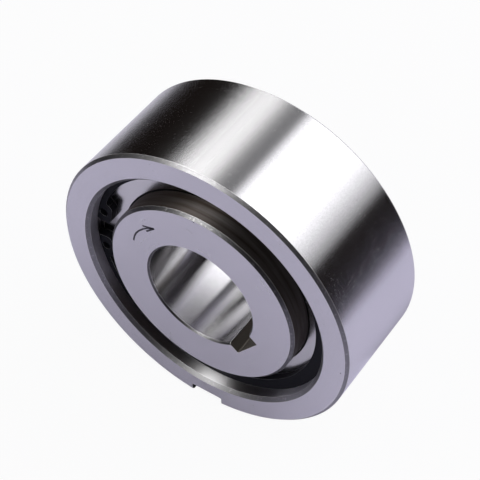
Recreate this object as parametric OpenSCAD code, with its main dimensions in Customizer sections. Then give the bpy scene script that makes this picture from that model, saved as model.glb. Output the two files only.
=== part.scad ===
// Sprag-type one-way clutch with a keyed outer ring and a keyed bore, without bearings of its own.
// It stands on its outside with the axis along Y. The front is towards -Y, and the origin is the middle of
// the bore. Clock angles are in degrees, clockwise from the top as seen from the front.

/* [Outer ring] */
// Outside diameter
outer_d = 110; // [104:1:124]
// Width of the outer ring
outer_w = 42; // [38:1:54]
// Diameter of the seats for the side plates at both ends
seat_d = 90; // [84:0.5:92]
// Height of the shoulders that the side plates rest on, from the seats in to the outer raceway
seat_step = 1.17; // [0.7:0.01:2]
// Chamfer on the outside edges
outer_edge = 1; // [0.3:0.1:2]
// Chamfer on the mouths of the seats
mouth_edge = 1.25; // [0.3:0.05:2]
// Width of the key slot along the outside
slot_w = 12; // [8:0.5:16]
// Depth of the key slot, from the outside diameter
slot_depth = 4; // [2.5:0.1:5]
// Clock angle of the key slot
slot_angle = 180; // [0:1:359]

/* [Inner ring] */
// Radial height of the sprag space, from the outer raceway in to the inner raceway
race_gap = 8.33; // [7.6:0.01:8.9]
// Diameter of the bore
bore_d = 40; // [30:1:46]
// How far each face of the inner ring stands out past the outer ring
inner_proud = 0.5; // [0:0.1:2]
// Chamfer on the outside edges of the inner ring
inner_edge = 1; // [0.3:0.1:2]
// Chamfer on the mouths of the bore
bore_edge = 0.6; // [0.2:0.1:1.5]
// Width of the keyway in the bore
key_w = 12; // [6:0.5:14]
// Depth of the keyway, from the bore diameter
key_depth = 3.3; // [1.5:0.1:5]
// Clock angle of the keyway at rest
key_angle = 129.1; // [0:0.1:359]
// Fillet at the bottom corners of both keyways
key_fillet = 0.4; // [0.1:0.1:1]

/* [Side plates] */
// Thickness of a side plate
plate_t = 3; // [1.5:0.1:5]
// Edge break on the outside of a side plate
plate_edge = 0.4; // [0.1:0.1:1]
// Radial running gap between the inner ring and a side plate
plate_run = 0.08; // [0.02:0.01:0.1]
// Radial gap between a side plate and its seat
plate_fit = 0.05; // [0.02:0.01:0.1]

/* [Circlips] */
// Depth of a circlip below the face of the outer ring
clip_inset = 5.1; // [3:0.1:7]
// Thickness of a circlip
clip_t = 3; // [1.5:0.1:4]
// Depth of the grooves for the circlips, from the seats out
groove_depth = 1.75; // [1.2:0.05:3]
// Radial width of a circlip opposite its gap
clip_wide = 6.4; // [5.5:0.1:8]
// Radial width of a circlip beside its lugs
clip_narrow = 3.6; // [2.8:0.1:4.4]
// Clock angle of the middle of the gap
clip_angle = -87.3; // [-180:0.1:180]
// Width of the gap between the end faces of the lugs, at half their height
clip_gap = 8; // [6:0.1:10.5]
// Width of a lug along the circlip
lug_w = 9; // [7.5:0.1:12]
// Radial height of a lug, from the outside of the circlip
lug_h = 6.8; // [6:0.1:9]
// Rounding of the lug corners
lug_round = 1.8; // [1:0.1:2.2]
// Hollow corner where a lug runs out into the circlip
lug_fillet = 1.2; // [0.4:0.1:2]
// Diameter of the holes for the pliers
lug_hole_d = 3.2; // [2:0.1:4]
// Height of the holes above the inner edge of the lugs
lug_hole_h = 3; // [2.4:0.1:4]
// Axial play of a circlip in its groove
clip_play = 0.15; // [0.05:0.01:0.3]
// Radial gap between a circlip and the bottom of its groove
clip_fit = 0.1; // [0.05:0.01:0.3]

/* [Sprags] */
// Number of sprags
sprag_n = 30; // [12:1:30]
// Width of a sprag at its head, beside the outer raceway
head_w = 7.2; // [5.6:0.1:7.6]
// Width of a sprag at its foot, beside the inner raceway
foot_w = 6.2; // [5:0.1:6.4]
// Radius of the cam that meets the outer raceway
head_cam_r = 5.6; // [4.9:0.1:8]
// Radius of the cam that meets the inner raceway
foot_cam_r = 4.9; // [4.7:0.1:7]
// How far the two cam centres lie apart along the raceway, which gives the strut angle
cam_shift = 0.5; // [0.2:0.05:1]
// How far the rounded shoulders stand out past the raceways' half gap
shoulder_over = 0.2; // [0.1:0.05:0.5]
// Depth of the waist on each flank
waist_depth = 0.9; // [0.3:0.1:1.4]
// Radius of the waist on each flank
waist_r = 3.5; // [2.5:0.1:5]
// Gap between a cam and its raceway at rest, with the oil film
cam_gap = 0.05; // [0.02:0.01:0.1]
// Gap between the end of a sprag and a side plate
sprag_side_gap = 0.2; // [0.1:0.05:0.5]

/* [Garter springs] */
// Outside diameter of the coil
coil_d = 2.4; // [1.8:0.1:2.8]
// Gap between the coil and the outer raceway
coil_gap = 0.33; // [0.2:0.01:0.5]
// Gap between the coil and the notches of the sprags
notch_gap = 0.3; // [0.2:0.05:0.5]
// Radius of the crowned floor of a notch, which stays under the coil as the sprag tilts
crown_r = 6; // [5:0.5:10]
// How far the top of the crown lies from the sprag's middle, towards locking
crown_shift = 0.8; // [0.3:0.1:1.2]

/* [Hidden] */
$fn = 96;
// Length by which a cutting shape runs out past what it cuts
over = 5;

SPRAGS = [for (i = [1 : sprag_n]) str("sprag_", i < 10 ? "0" : "", i)];

// Radii
outer_r = outer_d / 2;
seat_r = seat_d / 2;
groove_r = seat_r + groove_depth;
outer_race_r = seat_r - seat_step;
inner_race_r = outer_race_r - race_gap;
bore_r = bore_d / 2;

// Heights above the middle plane: face, groove, front of the plate, and the shoulder that the plate sits on
face_z = outer_w / 2;
inner_face_z = face_z + inner_proud;
groove_top_z = face_z - clip_inset;
plate_top_z = groove_top_z - clip_t - clip_play;
clip_z = plate_top_z + clip_play / 2;
shoulder_z = plate_top_z - plate_t;

// Circlip: its outside is round about the axis and its inside is round about a point towards the gap
clip_r = groove_r - clip_fit;
clip_hole_r = clip_r - (clip_wide + clip_narrow) / 2;
clip_hole_shift = (clip_wide - clip_narrow) / 2;
lug_reach_r = clip_r - lug_h;
// The lug's middle lies this far from the middle of the gap
lug_angle = atan((clip_gap + lug_w) / 2 / (clip_r - lug_h / 2));
web_r = clip_r - clip_narrow / 2;
// How far the hollow corner's shape runs into the circlip
root_sink = clip_narrow / 4;
// The hollow corner is no larger than the lug's corner leaves room for
corner_r = min(lug_fillet, 0.9 * (lug_h - clip_narrow - lug_round));

// Sprag: it tilts about the point halfway between the raceways
pivot_r = (outer_race_r + inner_race_r) / 2;
half_gap = race_gap / 2;
sprag_l = 2 * (shoulder_z - sprag_side_gap);
shoulder_r = half_gap + shoulder_over;
head_cam_y = sqrt(pow(outer_race_r - cam_gap - head_cam_r, 2) - pow(cam_shift / 2, 2)) - pivot_r;
foot_cam_y = sqrt(pow(inner_race_r + cam_gap + foot_cam_r, 2) - pow(cam_shift / 2, 2)) - pivot_r;
mid_w = (head_w + foot_w) / 2;

// Garter spring: the coil lies between the outer raceway and the crowned notches
coil_r = coil_d / 2;
ring_r = outer_race_r - coil_gap - coil_r;
crown_y = ring_r - coil_r - notch_gap - pivot_r;
notch_l = coil_d + 2 * notch_gap;
coil_z = sprag_l / 2 - notch_l / 2;

// Turns a shape drawn face up, with +Z to its front, so that the front is towards -Y and its +Y is up
module stand() {
    rotate([90, 0, 0]) children();
}

// Turns a shape drawn at the top to a clock angle
module clock(angle) {
    rotate([0, 0, -angle]) children();
}

// The same shape at the rear
module rear() {
    mirror([0, 0, 1]) children();
}

// A slot of a given width that ends at y = floor_y and runs down past y = 0, with filleted corners
module key_outline(width, floor_y) {
    side = width / 2 - key_fillet;
    translate([-side, 0]) square([2 * side, floor_y]);
    translate([-width / 2, 0]) square([width, floor_y - key_fillet]);
    for (s = [-1, 1]) translate([s * side, floor_y - key_fillet]) circle(key_fillet);
}

// Half of the outer ring's section, from the middle plane to the front face
function outer_half() = [
    [outer_race_r, 0], [outer_race_r, shoulder_z], [seat_r, shoulder_z], [seat_r, plate_top_z],
    [groove_r, plate_top_z], [groove_r, groove_top_z], [seat_r, groove_top_z],
    [seat_r, face_z - mouth_edge], [seat_r + mouth_edge, face_z],
    [outer_r - outer_edge, face_z], [outer_r, face_z - outer_edge], [outer_r, 0]];

// A half section together with its mirror image below the middle plane
function both_halves(half) = concat(half, [for (i = [len(half) - 1 : -1 : 0]) [half[i].x, -half[i].y]]);

module outer_ring() {
    color([0.66, 0.65, 0.70]) stand() difference() {
        rotate_extrude() polygon(both_halves(outer_half()));
        clock(slot_angle) translate([0, 0, -face_z - over]) linear_extrude(outer_w + 2 * over)
            translate([0, 2 * outer_r - slot_depth]) mirror([0, 1]) key_outline(slot_w, outer_r);
    }
}

function inner_half() = [
    [bore_r, 0], [bore_r, inner_face_z - bore_edge], [bore_r + bore_edge, inner_face_z],
    [inner_race_r - inner_edge, inner_face_z], [inner_race_r, inner_face_z - inner_edge],
    [inner_race_r, 0]];

module inner_ring() {
    color([0.66, 0.65, 0.70]) stand() difference() {
        rotate_extrude() polygon(both_halves(inner_half()));
        clock(key_angle) translate([0, 0, -inner_face_z - over])
            linear_extrude(2 * (inner_face_z + over)) key_outline(key_w, bore_r + key_depth);
    }
}

module side_plate() {
    rim_r = seat_r - plate_fit;
    hole_r = inner_race_r + plate_run;
    rotate_extrude() polygon([
        [hole_r, shoulder_z], [rim_r - plate_edge, shoulder_z], [rim_r, shoulder_z + plate_edge],
        [rim_r, plate_top_z - plate_edge], [rim_r - plate_edge, plate_top_z], [hole_r, plate_top_z]]);
}

module front_side_plate() {
    color([0.70, 0.70, 0.72]) stand() side_plate();
}

module rear_side_plate() {
    color([0.70, 0.70, 0.72]) stand() rear() side_plate();
}

// Points along a part of a circle
function arc(centre, r, from, to, n = 8) =
    [for (i = [0 : n]) let (a = from + (to - from) * i / n) centre + r * [cos(a), sin(a)]];

// The lug clockwise of the gap, drawn about the top with its root in the web of the circlip
module lug_outline() {
    side = lug_w / 2;
    translate([-side + lug_round, lug_reach_r]) square([lug_w - 2 * lug_round, web_r - lug_reach_r]);
    translate([-side, lug_reach_r + lug_round]) square([lug_w, web_r - lug_reach_r - lug_round]);
    for (s = [-1, 1]) translate([s * (side - lug_round), lug_reach_r + lug_round]) circle(lug_round);
    // The hollow corner touches both the lug's side and the circlip's inside
    hole = clip_hole_shift * [-sin(lug_angle), cos(lug_angle)];
    corner_x = side + corner_r - hole.x;
    corner = hole + [corner_x, sqrt(pow(clip_hole_r - corner_r, 2) - pow(corner_x, 2))];
    touch = corner - hole;
    root = hole + touch * (clip_hole_r + root_sink) / norm(touch);
    polygon(concat([[0, root.y], [0, corner.y]],
        arc(corner, corner_r, 180, atan2(touch.y, touch.x)), [root]));
}

// The gap, whose two sides are the end faces of the lugs
module gap_outline() {
    side = lug_w / 2;
    across = [cos(lug_angle), -sin(lug_angle)];
    up = [sin(lug_angle), cos(lug_angle)];
    mouth = (clip_r + over) * up - side * across;
    polygon([[0, side / sin(lug_angle)], [-mouth.x, mouth.y], mouth]);
}

module circlip_outline() {
    difference() {
        union() {
            difference() {
                circle(clip_r);
                translate([0, clip_hole_shift]) circle(clip_hole_r);
            }
            for (s = [0, 1]) mirror([s, 0]) clock(lug_angle) lug_outline();
        }
        for (s = [-1, 1]) clock(s * lug_angle) translate([0, lug_reach_r + lug_hole_h])
            circle(lug_hole_d / 2);
        gap_outline();
    }
}

module circlip() {
    translate([0, 0, clip_z]) linear_extrude(clip_t) clock(clip_angle) circlip_outline();
}

module front_circlip() {
    color([0.42, 0.41, 0.45]) stand() circlip();
}

module rear_circlip() {
    color([0.42, 0.41, 0.45]) stand() rear() circlip();
}

// The closed outer form of the coil, whose turns lie too close to see between
module garter_spring() {
    translate([0, 0, coil_z]) rotate_extrude() translate([ring_r, 0]) circle(coil_r);
}

module front_garter_spring() {
    color([0.55, 0.52, 0.45]) stand() garter_spring();
}

module rear_garter_spring() {
    color([0.55, 0.52, 0.45]) stand() rear() garter_spring();
}

// The section of a sprag about its pivot, with +Y outwards and +X clockwise
module sprag_outline() {
    difference() {
        intersection() {
            translate([-cam_shift / 2, head_cam_y]) circle(head_cam_r);
            translate([cam_shift / 2, foot_cam_y]) circle(foot_cam_r);
            circle(shoulder_r);
            polygon([[-head_w / 2, half_gap], [head_w / 2, half_gap],
                [foot_w / 2, -half_gap], [-foot_w / 2, -half_gap]]);
        }
        for (s = [-1, 1]) translate([s * (mid_w / 2 + waist_r - waist_depth), 0]) circle(waist_r);
    }
}

// What is cut away at each end of a sprag, down to the crowned floor under the coil
module notch_outline() {
    difference() {
        translate([-head_w, crown_y - crown_r / 2]) square([2 * head_w, 2 * half_gap + crown_r]);
        translate([crown_shift, crown_y - crown_r]) circle(crown_r);
    }
}

module sprag(angle) {
    color([0.50, 0.50, 0.55]) stand() clock(angle) translate([0, pivot_r]) difference() {
        translate([0, 0, -sprag_l / 2]) linear_extrude(sprag_l) sprag_outline();
        for (s = [0, 1]) mirror([0, 0, s]) translate([0, 0, sprag_l / 2 - notch_l])
            linear_extrude(notch_l + over) notch_outline();
    }
}

outer_ring();
inner_ring();
front_side_plate();
rear_side_plate();
front_circlip();
rear_circlip();
front_garter_spring();
rear_garter_spring();
for (i = [0 : sprag_n - 1]) sprag(i * 360 / sprag_n);
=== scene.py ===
# One-way clutch bearing: finishes, rotation arrow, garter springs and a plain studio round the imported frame
import math
from types import SimpleNamespace
import bpy
from mathutils import Matrix, Vector


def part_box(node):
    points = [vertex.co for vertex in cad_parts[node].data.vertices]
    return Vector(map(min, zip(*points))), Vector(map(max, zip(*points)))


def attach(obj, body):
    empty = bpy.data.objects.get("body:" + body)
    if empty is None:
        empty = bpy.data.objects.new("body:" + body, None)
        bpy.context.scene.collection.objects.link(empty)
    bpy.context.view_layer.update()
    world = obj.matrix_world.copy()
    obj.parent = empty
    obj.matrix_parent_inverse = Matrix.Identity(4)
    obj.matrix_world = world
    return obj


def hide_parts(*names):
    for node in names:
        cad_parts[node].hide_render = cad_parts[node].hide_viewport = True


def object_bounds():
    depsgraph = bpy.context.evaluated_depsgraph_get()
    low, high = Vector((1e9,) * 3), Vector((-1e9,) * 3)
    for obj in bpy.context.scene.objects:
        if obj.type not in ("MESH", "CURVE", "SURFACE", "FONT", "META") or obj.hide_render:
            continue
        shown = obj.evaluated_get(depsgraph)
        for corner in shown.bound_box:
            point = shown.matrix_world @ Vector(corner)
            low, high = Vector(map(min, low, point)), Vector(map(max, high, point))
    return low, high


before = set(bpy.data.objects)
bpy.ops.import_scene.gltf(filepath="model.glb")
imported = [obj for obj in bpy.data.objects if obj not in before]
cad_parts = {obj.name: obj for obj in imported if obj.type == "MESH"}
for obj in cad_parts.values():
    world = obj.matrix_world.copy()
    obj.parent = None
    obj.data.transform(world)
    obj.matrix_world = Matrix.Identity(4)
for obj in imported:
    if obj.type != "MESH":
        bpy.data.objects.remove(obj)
cad_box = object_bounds()

MM = 0.001
AXIS = Vector((0, 1, 0))

# The camera, as fitted to the photograph: it looks down at the front face from the right and leans a little.
# Angles are in degrees, lens and sensor in millimetres. FRONT_CENTRE_PX is the pixel of the photograph where
# the middle of the outer ring's front face lies.
CAMERA_AZIMUTH = 35.51
CAMERA_ELEVATION = 47.35
CAMERA_ROLL = -2.08
CAMERA_DEPTH = 465.28 * MM
CAMERA_LENS = 109.3
SENSOR_WIDTH = 36
PHOTO_SIDE = 480
FRONT_CENTRE_PX = (200.1, 295.1)

# The clutch, as the frame has it
FRONT_FACE_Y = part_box("outer_ring")[0].y
INNER_FACE_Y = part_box("inner_ring")[0].y
FLOOR_Z = cad_box[0].z
SPRAGS = [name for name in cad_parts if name.startswith("sprag_")]


# Node helpers
def add(tree, kind, inputs=None, out=0, **settings):
    """Adds a node, sets or links its inputs and returns one of its outputs."""
    made = tree.nodes.new(kind)
    for key, value in settings.items():
        setattr(made, key, value)
    for key, value in (inputs or {}).items():
        if isinstance(value, bpy.types.NodeSocket):
            tree.links.new(value, made.inputs[key])
        else:
            made.inputs[key].default_value = value
    return made.outputs[out]


def calc(tree, operation, a, b=0.0):
    return add(tree, "ShaderNodeMath", {0: a, 1: b}, operation=operation)


def product(tree, a, b):
    return calc(tree, "MULTIPLY", a, b)


def remap(tree, value, low, high, to_low, to_high):
    return add(tree, "ShaderNodeMapRange", {0: value, 1: low, 2: high, 3: to_low, 4: to_high})


def blend(tree, share, at_zero, at_one):
    """A number between two others, by a share from 0 to 1."""
    return remap(tree, share, 0, 1, at_zero, at_one)


def spread(tree, value, reach):
    """The middle range of a noise, drawn out to lie between minus and plus its reach."""
    return remap(tree, value, 0.3, 0.7, -reach, reach)


def noise(tree, vector, scale, detail=2.0, roughness=0.5):
    return add(tree, "ShaderNodeTexNoise",
               {"Vector": vector, "Scale": scale, "Detail": detail, "Roughness": roughness})


def mix_colour(tree, factor, a, b):
    return add(tree, "ShaderNodeMix", {0: factor, 6: a, 7: b}, out=2, data_type="RGBA")


def mix_vector(tree, factor, a, b):
    return add(tree, "ShaderNodeMix", {0: factor, 4: a, 5: b}, out=1, data_type="VECTOR")


def axes(tree, vector):
    """The x, y and z of a vector."""
    return list(add(tree, "ShaderNodeSeparateXYZ", {0: vector}).node.outputs)


def own_place(tree):
    """Where a point lies on its own piece, so that a finish moves with the piece."""
    return add(tree, "ShaderNodeTexCoord", out="Object")


def studio_place(tree):
    """The x, y and z of a point in the studio."""
    return axes(tree, add(tree, "ShaderNodeNewGeometry", out="Position"))


def light_path(tree):
    """The outputs that tell what kind of ray sees a point."""
    return add(tree, "ShaderNodeLightPath").node.outputs


def shade(colour, share=1.0):
    """A colour, or a darker share of it, as a node takes it."""
    return (*[share * c for c in colour], 1)


def new_tree(name):
    made = bpy.data.materials.new(name)
    made.use_nodes = True
    made.node_tree.nodes.clear()
    return made, made.node_tree


def finish_tree(tree, shader, kind="ShaderNodeOutputMaterial"):
    out = tree.nodes.new(kind)
    tree.links.new(shader, out.inputs["Surface"])


# Ground steel: the scales of its noises, in cells to a metre, and the pitches of its grinding lines
CLOUD_SCALE = 70.0
GRAIN_SCALE = 2600.0
NICK_SCALE = 1300.0
SPECK_SCALE = 300.0
SPECK_GROUP_SCALE = 160.0
FINE_PITCH = 0.25 * MM
BROAD_PITCH = 9 * FINE_PITCH

# A surface that faces along the axis by less than the first cosine is round. One that does by more than the
# second is a flat face, and what lies between is a chamfer.
ROUND_BELOW = 0.3
FACE_ABOVE = 0.9

# What tarnish and lines, dark grain and specks, and nicks each leave of the steel's colour
DULL_SHARE = 0.78
DARK_SHARE = 0.4
NICK_SHARE = 0.8

# How strongly each kind of mark shows in the colour at its most
TARNISH = 0.12
LINES = 0.15
GRAIN = 0.12
NICKS = 0.4
SPECKS = 0.7
# Pale worn edges, partly wear and partly a painted highlight
WEAR_AND_HIGHLIGHT = 0.85

# How far each noise takes the roughness from its level, as a share of the level
CLOUD_WANDER = 0.10
LINE_WANDER = 0.06
GRAIN_WANDER = 0.09

# Surfaces stained by old oil and darkened by painted shade, chamfers and coarse places, and worn edges,
# which also carry a painted highlight
STAIN_AND_SHADE = (0.080, 0.058, 0.045)
STAIN_ROUGHNESS = 0.7
STAIN_METAL = 0.6
STAIN_SHINE = 0.1
CHAMFER_COARSE = 0.5
COARSE_ROUGHNESS = 0.55
COARSE_ANISO = 0.2
FACE_ANISO = 0.3
WEAR_AND_HIGHLIGHT_METAL = 0.4


def facing_masks(tree, normal):
    """1 or 0 for round surfaces, flat faces and chamfers, by how far each faces along the axis."""
    axial = calc(tree, "ABSOLUTE", axes(tree, normal)[1])
    is_round = calc(tree, "LESS_THAN", axial, ROUND_BELOW)
    is_face = calc(tree, "GREATER_THAN", axial, FACE_ABOVE)
    is_chamfer = calc(tree, "SUBTRACT", 1.0, calc(tree, "ADD", is_round, is_face))
    return is_round, is_face, is_chamfer


def worn_and_highlighted_edges(tree, true_normal, edge):
    """How much an edge rounds a point, how pale the wear and painted highlight are there, and the normal of
    the rounded edge.
    """
    soft_normal = add(tree, "ShaderNodeBevel", {"Radius": edge}, samples=8)
    facing = add(tree, "ShaderNodeVectorMath", {0: soft_normal, 1: true_normal}, out="Value",
                 operation="DOT_PRODUCT")
    worn = remap(tree, facing, 0.99, 0.9, 0.0, 1.0)
    soft_axial = calc(tree, "ABSOLUTE", axes(tree, soft_normal)[1])
    pale = product(tree, worn, remap(tree, soft_axial, 0.6, 0.7, 1.0, 0.0))
    return worn, pale, mix_vector(tree, worn, true_normal, soft_normal)


def ground_lines(tree, turned, along, pitch, detail):
    """Noise that is drawn out round the axis, as grinding leaves it."""
    drawn_out = add(tree, "ShaderNodeCombineXYZ", {
        0: turned[0], 1: turned[1], 2: calc(tree, "DIVIDE", along, pitch)})
    return noise(tree, drawn_out, 1.0, detail, 0.6)


def surface(tree, edge):
    """The masks and noises of ground steel, which its colour and its roughness share."""
    place = own_place(tree)
    x, y, z = axes(tree, place)
    radius = calc(tree, "SQRT", calc(tree, "ADD", product(tree, x, x), product(tree, z, z)))
    turned = (calc(tree, "DIVIDE", x, radius), calc(tree, "DIVIDE", z, radius))
    along = calc(tree, "ADD", radius, y)
    true_normal = add(tree, "ShaderNodeNewGeometry", out="Normal")
    is_round, is_face, is_chamfer = facing_masks(tree, true_normal)
    worn, pale, normal = worn_and_highlighted_edges(tree, true_normal, edge)
    nicks = remap(tree, noise(tree, place, NICK_SCALE, 3.0, 0.6), 0.56, 0.68, 0.0, NICKS)
    cells = add(tree, "ShaderNodeTexVoronoi", {"Vector": place, "Scale": SPECK_SCALE}, out="Distance")
    groups = noise(tree, place, SPECK_GROUP_SCALE, 1.0)
    return SimpleNamespace(
        radius=radius,
        rightward=turned[0],
        is_round=is_round,
        is_face=is_face,
        is_chamfer=is_chamfer,
        worn=worn,
        pale=pale,
        normal=normal,
        fine=ground_lines(tree, turned, along, FINE_PITCH, 3.0),
        broad=ground_lines(tree, turned, along, BROAD_PITCH, 2.0),
        cloud=noise(tree, place, CLOUD_SCALE, 4.0, 0.55),
        grain=noise(tree, place, GRAIN_SCALE, 2.0, 0.6),
        nick=product(tree, is_chamfer, nicks),
        speck=product(tree, calc(tree, "LESS_THAN", cells, 0.05), calc(tree, "GREATER_THAN", groups, 0.58)))


def ground_colour(tree, at, colour, chamfer_shade):
    """The steel's colour with its tarnish, grinding lines and grain, and its darker, nicked chamfers."""
    dull = shade(colour, DULL_SHARE)
    base = mix_colour(tree, remap(tree, at.cloud, 0.35, 0.75, 0.0, TARNISH), shade(colour), dull)
    base = mix_colour(tree, remap(tree, at.fine, 0.3, 0.7, 0.0, LINES), base, dull)
    base = mix_colour(tree, remap(tree, at.grain, 0.35, 0.65, 0.0, GRAIN), base, shade(colour, DARK_SHARE))
    base = mix_colour(tree, at.is_chamfer, base, shade(colour, chamfer_shade))
    return mix_colour(tree, at.nick, base, shade(colour, NICK_SHARE))


def stained_and_shaded_colour(tree, at, is_stained_and_shaded, base):
    """A dark brown over the colour of the stained raceway, partly old oil and partly painted shade. The
    painted shade makes it half as light on the right as at the far left.
    """
    tint = mix_colour(tree, remap(tree, at.rightward, -0.4, 0.0, 0.0, 1.0), shade(STAIN_AND_SHADE), shade(STAIN_AND_SHADE, 0.5))
    cover = product(tree, is_stained_and_shaded, remap(tree, at.broad, 0.3, 0.7, 0.85, 1.0))
    return mix_colour(tree, cover, base, tint)


def roughness_wander(tree, at):
    """How far the roughness strays from its level, as a share of the level."""
    slow = calc(tree, "ADD", spread(tree, at.cloud, CLOUD_WANDER), spread(tree, at.broad, LINE_WANDER))
    slow = product(tree, slow, blend(tree, at.is_round, 1.0, 0.25))
    quick = product(tree, spread(tree, at.grain, GRAIN_WANDER), blend(tree, at.is_face, 1.0, 0.3))
    return calc(tree, "ADD", slow, quick)


def steel(name, colour, roughness, round_roughness, round_aniso=1.0, chamfer_shade=0.36, stain_and_shade_from=None,
          inside=None, broached=None, slot_shade_colour=(0.15, 0.135, 0.12), edge=0.3 * MM,
          worn_and_highlight_colour=(0.85, 0.84, 0.83), metallic=1.0, shine=0.5):
    """Ground steel. Its lines run round the axis, so that reflections are drawn out across them.

    round_roughness and round_aniso are those of round surfaces. Round surfaces further out than the radius
    stain_and_shade_from are stained by old oil and darkened by painted shade. inside is a radius and the
    roughness of the round surfaces within it.
    broached is the two radii between which the walls of a key slot lie, which are coarser and darkened by
    painted shade to slot_shade_colour.
    Edges are rounded over the length edge and worn to worn_and_highlight_colour, which is partly wear and
    partly a painted highlight."""
    made, tree = new_tree(name)
    at = surface(tree, edge)
    base = ground_colour(tree, at, colour, chamfer_shade)
    level = blend(tree, at.is_round, roughness, round_roughness)
    metal = blend(tree, at.pale, metallic, WEAR_AND_HIGHLIGHT_METAL * metallic)
    # The raceway: old oil stain and painted shade in its colour, and a duller, rougher finish
    if stain_and_shade_from is not None:
        is_stained_and_shaded = product(tree, at.is_round, calc(tree, "GREATER_THAN", at.radius, stain_and_shade_from))
        base = stained_and_shaded_colour(tree, at, is_stained_and_shaded, base)
        level = blend(tree, is_stained_and_shaded, level, STAIN_ROUGHNESS)
        metal = blend(tree, is_stained_and_shaded, metal, STAIN_METAL)
        shine = blend(tree, is_stained_and_shaded, shine, STAIN_SHINE)
    if inside is not None:
        is_inside = product(tree, at.is_round, calc(tree, "LESS_THAN", at.radius, inside[0]))
        level = blend(tree, is_inside, level, inside[1])
    in_slot = 0.0
    # Key slot walls: coarser, and darkened in colour by painted shade
    if broached is not None:
        beyond = calc(tree, "GREATER_THAN", at.radius, broached[0])
        within = calc(tree, "LESS_THAN", at.radius, broached[1])
        in_slot = product(tree, at.is_round, product(tree, beyond, within))
        base = mix_colour(tree, in_slot, base, shade(slot_shade_colour))
    base = mix_colour(tree, product(tree, at.speck, SPECKS), base, shade(colour, DARK_SHARE))
    # Pale worn edges: partly wear, partly a painted highlight
    base = mix_colour(tree, product(tree, at.pale, WEAR_AND_HIGHLIGHT), base, shade(worn_and_highlight_colour))
    coarse = calc(tree, "MAXIMUM", at.worn, in_slot)
    coarse = calc(tree, "MAXIMUM", product(tree, at.is_chamfer, CHAMFER_COARSE), coarse)
    level = blend(tree, coarse, level, COARSE_ROUGHNESS)
    ground_aniso = blend(tree, at.is_round, FACE_ANISO, round_aniso)
    bump = add(tree, "ShaderNodeBump", {
        "Strength": blend(tree, at.is_face, 0.02, 0.06),
        "Distance": 0.01 * MM,
        "Height": at.fine,
        "Normal": at.normal})
    shader = add(tree, "ShaderNodeBsdfPrincipled", {
        "Base Color": base,
        "Metallic": metal,
        "Roughness": calc(tree, "ADD", level, product(tree, level, roughness_wander(tree, at))),
        "Normal": bump,
        "Specular IOR Level": shine,
        "Tangent": add(tree, "ShaderNodeTangent", direction_type="RADIAL", axis="Y"),
        "Anisotropic": blend(tree, coarse, ground_aniso, COARSE_ANISO),
        "Anisotropic Rotation": 0.25})
    finish_tree(tree, shader)
    return made


def uneven(name, scale, dark, light, roughness, relief, more):
    """A dull, dark material, whose colour, roughness and relief one noise varies."""
    made, tree = new_tree(name)
    grain = noise(tree, own_place(tree), scale, 3.0)
    shader = add(tree, "ShaderNodeBsdfPrincipled", {
        "Base Color": mix_colour(tree, grain, shade(dark), shade(light)),
        "Roughness": remap(tree, grain, 0.3, 0.7, *roughness),
        "Normal": add(tree, "ShaderNodeBump", {"Strength": relief, "Distance": 0.02 * MM, "Height": grain}),
        **more})
    finish_tree(tree, shader)
    return made


# Finishes of the CAD nodes. The outer ring's round surfaces within INSIDE_R are its seats and raceway, and
# the inner ring's beyond STAIN_AND_SHADE_FROM are its raceway, which is stained by old oil and darkened by
# painted shade. The walls of each key slot lie between two radii.
RING_COLOUR = (0.58, 0.572, 0.58)
INSIDE_R = 50 * MM
STAIN_AND_SHADE_FROM = 35 * MM
OUTER_SLOT_RADII = (50.9 * MM, 54.8 * MM)
BORE_SLOT_RADII = (20.3 * MM, 24 * MM)


def paint(nodes, material):
    for node in nodes:
        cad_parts[node].material_slots[0].material = material


# The walls of the slot in the outer ring are near black with painted shade
paint(["outer_ring"], steel(
    "outer_steel", RING_COLOUR, 0.25, 0.25, chamfer_shade=0.32, inside=(INSIDE_R, 0.31),
    broached=OUTER_SLOT_RADII, slot_shade_colour=(0.03, 0.03, 0.03)))
# The inner ring's raceway is stained by old oil and darkened by painted shade
paint(["inner_ring"], steel(
    "inner_steel", RING_COLOUR, 0.25, 0.20, chamfer_shade=0.18, stain_and_shade_from=STAIN_AND_SHADE_FROM,
    broached=BORE_SLOT_RADII))
paint(["front_side_plate", "rear_side_plate"], steel("plate_steel", (0.58, 0.575, 0.56), 0.20, 0.3))
# The circlips' pale worn edges are partly wear and partly a painted highlight
paint(["front_circlip", "rear_circlip"], steel(
    "circlip_steel", (0.016, 0.016, 0.021), 0.34, 0.4, edge=0.25 * MM, worn_and_highlight_colour=(0.85, 0.85, 0.90),
    metallic=0.0, shine=0.02))
paint(SPRAGS, steel("sprag_steel", (0.50, 0.50, 0.55), 0.22, 0.22, round_aniso=0.3))


# Helpers for shapes
def clock_point(radius, angle, y):
    """A point at a clock angle in degrees, clockwise from the top as seen from the front."""
    a = math.radians(angle)
    return Vector((radius * math.sin(a), y, radius * math.cos(a)))


def mesh_piece(name, points, faces, material, smooth=False):
    mesh = bpy.data.meshes.new(name)
    mesh.from_pydata(points, [], faces)
    mesh.update()
    if smooth:
        mesh.shade_smooth()
    mesh.materials.append(material)
    made = bpy.data.objects.new(name, mesh)
    bpy.context.scene.collection.objects.link(made)
    return made


# Garter springs: the wire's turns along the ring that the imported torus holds
COIL_TURNS = 400
COIL_STEPS = 12
WIRE_SIDES = 6
WIRE_D = 0.5 * MM


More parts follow.
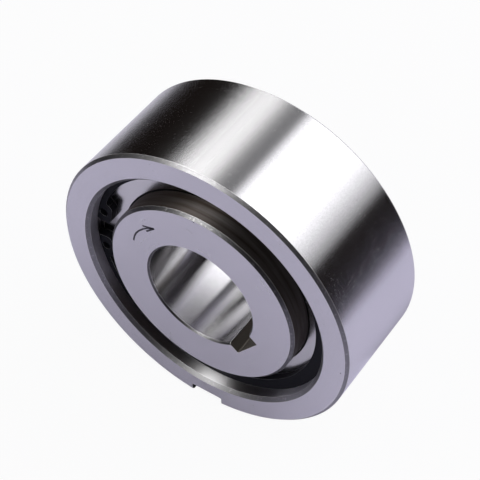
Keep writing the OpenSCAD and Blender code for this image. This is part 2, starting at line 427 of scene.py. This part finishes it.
def garter_spring(name, material):
    low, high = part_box(name)
    coil_r = (high.y - low.y) / 2
    ring_r = high.z - coil_r
    middle_y = (high.y + low.y) / 2
    helix_r = coil_r - WIRE_D / 2
    pitch_share = ring_r / (COIL_TURNS * helix_r)
    count = COIL_TURNS * COIL_STEPS
    points = []
    for i in range(count):
        round_ring = 360 * i / count
        turn = 2 * math.pi * i / COIL_STEPS
        out = clock_point(1, round_ring, 0)
        side = math.cos(turn) * out + math.sin(turn) * AXIS
        centre = clock_point(ring_r, round_ring, middle_y) + helix_r * side
        ring_way = clock_point(1, round_ring + 90, 0)
        turn_way = -math.sin(turn) * out + math.cos(turn) * AXIS
        way = (turn_way + pitch_share * ring_way).normalized()
        across = way.cross(side).normalized()
        for k in range(WIRE_SIDES):
            b = 2 * math.pi * k / WIRE_SIDES
            points.append(centre + WIRE_D / 2 * (math.cos(b) * side + math.sin(b) * across))
    faces = []
    for i in range(count):
        j = (i + 1) % count
        for k in range(WIRE_SIDES):
            m = (k + 1) % WIRE_SIDES
            faces.append((i * WIRE_SIDES + k, i * WIRE_SIDES + m, j * WIRE_SIDES + m, j * WIRE_SIDES + k))
    coil = mesh_piece(name + "_coil", points, faces, material, smooth=True)
    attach(coil, "outer_ring")
    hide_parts(name)


spring_steel = steel("spring_steel", (0.50, 0.47, 0.42), 0.30, 0.30, round_aniso=0.3)
garter_spring("front_garter_spring", spring_steel)
garter_spring("rear_garter_spring", spring_steel)

# Rotation arrow etched into the face of the inner ring: a curved shaft and two barbs that meet at its tip.
# Each point is a radius in millimetres and a clock angle. MARK_LIFT is how far marks lie above their face.
ARROW_WIDTH = 0.62 * MM
MARK_LIFT = 0.01 * MM
ARROW_SHAFT = [(27.6, -64.9), (28.14, -60.3), (28.46, -56.2), (28.49, -51.7), (28.35, -47.2), (28.13, -42.7),
               (27.4, -36.3)]
ARROW_TIP = (27.33, -35.8)
ARROW_BARBS = [[(29.4, -44.6), ARROW_TIP], [(27.2, -45.2), ARROW_TIP]]


def stroke(points, width):
    """The two sides of a line of even width through some points on the inner ring's face."""
    left, right = [], []
    for i, point in enumerate(points):
        way = (points[min(i + 1, len(points) - 1)] - points[max(i - 1, 0)]).normalized()
        across = way.cross(AXIS) * width / 2
        left.append(point + across)
        right.append(point - across)
    return left, right


def arrow(material):
    points, faces = [], []
    y = INNER_FACE_Y - MARK_LIFT
    for line in [ARROW_SHAFT] + ARROW_BARBS:
        left, right = stroke([clock_point(r * MM, a, y) for r, a in line], ARROW_WIDTH)
        first = len(points)
        for a, b in zip(left, right):
            points += [a, b]
        for i in range(len(left) - 1):
            n = first + 2 * i
            faces.append((n, n + 1, n + 3, n + 2))
    made = mesh_piece("rotation_arrow", points, faces, material)
    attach(made, "inner_ring")


# Small pits in the faces: node, radius in millimetres, clock angle and size in millimetres. Every third
# corner of a pit lies nearer its middle, at PIT_DENT of its size.
PITS = [("outer_ring", 52.57, 94.0, 0.24), ("inner_ring", 34.2, -0.3, 0.28)]
PIT_SIDES = 9
PIT_DENT = 0.75


def pits(material):
    for i, (node, radius, angle, size) in enumerate(PITS):
        face_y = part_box(node)[0].y - MARK_LIFT
        centre = clock_point(radius * MM, angle, face_y)
        points = []
        for k in range(PIT_SIDES):
            reach = size * MM * (1.0 if k % 3 else PIT_DENT)
            points.append(centre + clock_point(reach, -360 * k / PIT_SIDES, 0))
        made = mesh_piece(f"pit_{i + 1}", points, [tuple(range(PIT_SIDES))], material)
        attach(made, node)


# Painted shade of the gap where the front side plate meets the inner ring, between two distances from the
# ring
GAP_SHADE_FROM = 0.05 * MM
GAP_SHADE_TO = 0.65 * MM
GAP_SHADE_STEPS = 180


# Draws the painted shade of the gap as a flat dark ring on the front side plate
def oil_line(material):
    inner_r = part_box("inner_ring")[1].z
    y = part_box("front_side_plate")[0].y - MARK_LIFT
    points, faces = [], []
    for i in range(GAP_SHADE_STEPS):
        angle = 360 * i / GAP_SHADE_STEPS
        points += [clock_point(inner_r + GAP_SHADE_FROM, angle, y), clock_point(inner_r + GAP_SHADE_TO, angle, y)]
        j = (i + 1) % GAP_SHADE_STEPS
        faces.append((2 * i, 2 * i + 1, 2 * j + 1, 2 * j))
    made = mesh_piece("oil_line", points, faces, material)
    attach(made, "outer_ring")


etched = uneven("etched_steel", 2500.0, (0.02, 0.019, 0.024), (0.075, 0.072, 0.09), (0.5, 0.7), 0.4,
                {"Metallic": 0.4})
# Near-black, dull material of the painted shade in the gap between the front side plate and the inner ring
oil = uneven("oil", 900.0, (0.001, 0.001, 0.001), (0.008, 0.007, 0.006), (0.4, 0.6), 0.2,
             {"Specular IOR Level": 0.1})
arrow(etched)
pits(etched)
oil_line(oil)

# Studio: two soft lights above and one more that only reflections show, cards that only reflections show,
# and a pale floor. Clock angles are in degrees, and distances are from the axis, in metres. Y_PART is where
# the card above at the front ends and the card and the right light behind it begin.
Y_FRONT = -1.3
Y_REAR = 1.7
Y_PART = -0.1
CARD_COLOUR = (0.012, 0.009, 0.008)
QUAD = [(0, 1, 2, 3)]


def glow(name, colour, strength, clocks=None, fades=None):
    """Light of even strength, or one that fades in and out near two clock angles."""
    made, tree = new_tree(name)
    if clocks is not None:
        place = studio_place(tree)
        clock = calc(tree, "ARCTAN2", place[0], place[2])
        low, high, soft_low, soft_high = [math.radians(v) for v in (*clocks, *fades)]
        rise = remap(tree, clock, low, low + soft_low, 0.0, 1.0)
        fall = remap(tree, clock, high - soft_high, high, 1.0, 0.0)
        strength = product(tree, strength, product(tree, rise, fall))
    finish_tree(tree, add(tree, "ShaderNodeEmission", {"Color": shade(colour), "Strength": strength}))
    return made


def panel(name, corners, material, only_reflected):
    """A flat panel of the studio, which the camera itself never sees."""
    made = mesh_piece(name, corners, QUAD, material)
    made.visible_camera = False
    if only_reflected:
        made.visible_diffuse = False
        made.visible_shadow = False


def span(clock_low, clock_high, distance, y_low, y_high):
    """The corners of a flat panel that fills a stretch of clock angles as seen from the axis."""
    a = math.radians((clock_low + clock_high) / 2)
    half = distance * math.tan(math.radians((clock_high - clock_low) / 2))
    out = Vector((math.sin(a), 0, math.cos(a))) * distance
    side = Vector((math.cos(a), 0, -math.sin(a))) * half
    ends = ((-1, y_low), (1, y_low), (1, y_high), (-1, y_high))
    return [out + s * side + Vector((0, y, 0)) for s, y in ends]


def upright(x, z_high):
    """The corners of a panel that stands on the floor beside the clutch."""
    return [(x, Y_FRONT, FLOOR_Z), (x, Y_REAR, FLOOR_Z), (x, Y_REAR, z_high), (x, Y_FRONT, z_high)]


def across_axis(x_low, x_high, y, z_low, z_high):
    """The corners of a panel across the axis."""
    return [(x_low, y, z_low), (x_high, y, z_low), (x_high, y, z_high), (x_low, y, z_high)]


def level_corners(x_low, x_high, y_low, y_high, z):
    """The corners of a level rectangle."""
    return [(x_low, y_low, z), (x_high, y_low, z), (x_high, y_high, z), (x_low, y_high, z)]


def soft_light(name, clocks, fades, strength, distance=1.0, y_low=Y_FRONT, y_high=Y_REAR,
               colour=(1.0, 1.0, 1.0), only_reflected=False):
    """A flat light over a stretch of clock angles, which fades near both of its edges."""
    panel(name, span(*clocks, distance, y_low, y_high), glow(name, colour, strength, clocks, fades),
          only_reflected)


def cards():
    """Dark cards and a grey one, which only reflections show."""
    dark = glow("dark_card", CARD_COLOUR, 1.0)
    grey = glow("grey_card", (0.24, 0.24, 0.25), 1.0)
    panel("card_left", upright(-0.30, 0.321), dark, True)
    panel("card_right", upright(0.212, 0.095), dark, True)
    panel("card_top", span(-12, 1.5, 0.95, Y_PART, Y_REAR), grey, True)
    panel("card_front_top", span(-12, 66, 0.94, Y_FRONT, Y_PART), dark, True)
    panel("card_front", across_axis(-0.25, 1.5, Y_FRONT, 0.0, 1.2), dark, True)


soft_light("soft_light_shine", (-44.5, -14), (8, 8), 14.0, distance=0.99, y_high=-0.2, only_reflected=True)
soft_light("soft_light_left", (-44.5, -10), (8, 8), 1.3)
soft_light("soft_light_right", (-4.3, 77), (11, 34), 2.7, y_low=Y_PART, colour=(1.0, 1.0, 1.03))
cards()

# Contact shade: how far the patch reaches to each side and from front to back, where its fades to each side
# and to the back begin, and its height above the floor
SHADE_SIDE = 0.07
SHADE_FRONT = 0.022
SHADE_BACK = 0.12
SHADE_SIDE_FADE = 0.03
SHADE_BACK_FADE = 0.05
SHADE_LIFT = 0.5 * MM


def contact_shade():
    """A dark patch close behind the clutch, with soft edges, for the shade that reflections show there."""
    material, tree = new_tree("contact_shade")
    x, y = studio_place(tree)[:2]
    beside = remap(tree, calc(tree, "ABSOLUTE", x), SHADE_SIDE_FADE, SHADE_SIDE, 1.0, 0.0)
    depth = remap(tree, y, SHADE_BACK_FADE, SHADE_BACK, 1.0, 0.0)
    clear = add(tree, "ShaderNodeBsdfTransparent")
    black = add(tree, "ShaderNodeEmission", {"Color": shade(CARD_COLOUR), "Strength": 1.0})
    cover = product(tree, beside, depth)
    finish_tree(tree, add(tree, "ShaderNodeMixShader", {0: cover, 1: clear, 2: black}))
    corners = level_corners(-SHADE_SIDE, SHADE_SIDE, SHADE_FRONT, SHADE_BACK, FLOOR_Z + SHADE_LIFT)
    panel("contact_shade", corners, material, True)


contact_shade()

# Floor: its size, the paper's colour and that in reflections, the white that it glows in, and how much of it
# glows to the camera, in reflections, and in reflections of the part behind the clutch on the left, which
# fades in over a stretch of x and one of y.
FLOOR_SIDE = 8.0
PAPER = (0.60, 0.60, 0.66)
PAPER_REFLECTED = (0.82, 0.785, 0.985)
FLOOR_WHITE = (0.99, 0.99, 0.992)
GLOW_SEEN = 0.96
GLOW_REFLECTED = 0.06
GLOW_BEHIND_LEFT = 0.65
LEFT_FADE_X = (-0.08, -0.25)
BEHIND_FADE_Y = (0.0, 0.05)


def floor():
    """Pale paper: nearly even white to the camera. In reflections it is bluer and lit by the lights, with a
    painted glow that is strongest behind the clutch on the left.
    """
    half = FLOOR_SIDE / 2
    material, tree = new_tree("floor")
    path = light_path(tree)
    paper = add(tree, "ShaderNodeBsdfDiffuse", {
        "Color": mix_colour(tree, path["Is Glossy Ray"], shade(PAPER), shade(PAPER_REFLECTED))})
    white = add(tree, "ShaderNodeEmission", {"Color": shade(FLOOR_WHITE), "Strength": 1.0})
    x, y = studio_place(tree)[:2]
    left = remap(tree, x, *LEFT_FADE_X, 0.0, 1.0)
    behind_left = product(tree, left, remap(tree, y, *BEHIND_FADE_Y, 0.0, 1.0))
    reflected = blend(tree, behind_left, GLOW_REFLECTED, GLOW_BEHIND_LEFT)
    seen = product(tree, path["Is Camera Ray"], GLOW_SEEN)
    share = calc(tree, "ADD", seen, product(tree, path["Is Glossy Ray"], reflected))
    finish_tree(tree, add(tree, "ShaderNodeMixShader", {0: share, 1: paper, 2: white}))
    made = mesh_piece("floor", level_corners(-half, half, -half, half, FLOOR_Z), QUAD, material)


floor()

# World: its colour, and its strength as a light and where it is seen
WORLD_COLOUR = (0.96, 0.96, 0.98)
WORLD_LIGHT = 0.35
WORLD_SEEN = 1.0


def surround():
    """An even, pale world. It is weaker as a light than where the camera or a reflection sees it."""
    world = bpy.data.worlds.new("studio")
    world.use_nodes = True
    bpy.context.scene.world = world
    tree = world.node_tree
    tree.nodes.clear()
    path = light_path(tree)
    seen = calc(tree, "MAXIMUM", path["Is Camera Ray"], path["Is Glossy Ray"])
    seen = calc(tree, "MAXIMUM", seen, path["Is Transmission Ray"])
    pale = add(tree, "ShaderNodeBackground", {
        "Color": shade(WORLD_COLOUR), "Strength": blend(tree, seen, WORLD_LIGHT, WORLD_SEEN)})
    finish_tree(tree, pale, "ShaderNodeOutputWorld")


surround()


def camera():
    """The camera of the photograph. Its roll turns it about its line of sight."""
    data = bpy.data.cameras.new("camera")
    data.lens = CAMERA_LENS
    data.sensor_width = SENSOR_WIDTH
    made = bpy.data.objects.new("camera", data)
    bpy.context.scene.collection.objects.link(made)
    a, e, roll = [math.radians(v) for v in (CAMERA_AZIMUTH, CAMERA_ELEVATION, CAMERA_ROLL)]
    forward = Vector((-math.sin(a) * math.cos(e), math.cos(a) * math.cos(e), -math.sin(e)))
    sideways = Vector((math.cos(a), math.sin(a), 0))
    right = math.cos(roll) * sideways + math.sin(roll) * sideways.cross(forward)
    up = right.cross(forward)
    pixel = CAMERA_DEPTH * SENSOR_WIDTH / CAMERA_LENS / PHOTO_SIDE
    across = (FRONT_CENTRE_PX[0] - PHOTO_SIDE / 2) * pixel
    below = (FRONT_CENTRE_PX[1] - PHOTO_SIDE / 2) * pixel
    made.location = Vector((0, FRONT_FACE_Y, 0)) - right * across + up * below - forward * CAMERA_DEPTH
    made.rotation_euler = Matrix((right, up, -forward)).transposed().to_euler()
    bpy.context.scene.camera = made


camera()
bpy.context.scene.view_settings.view_transform = "Standard"
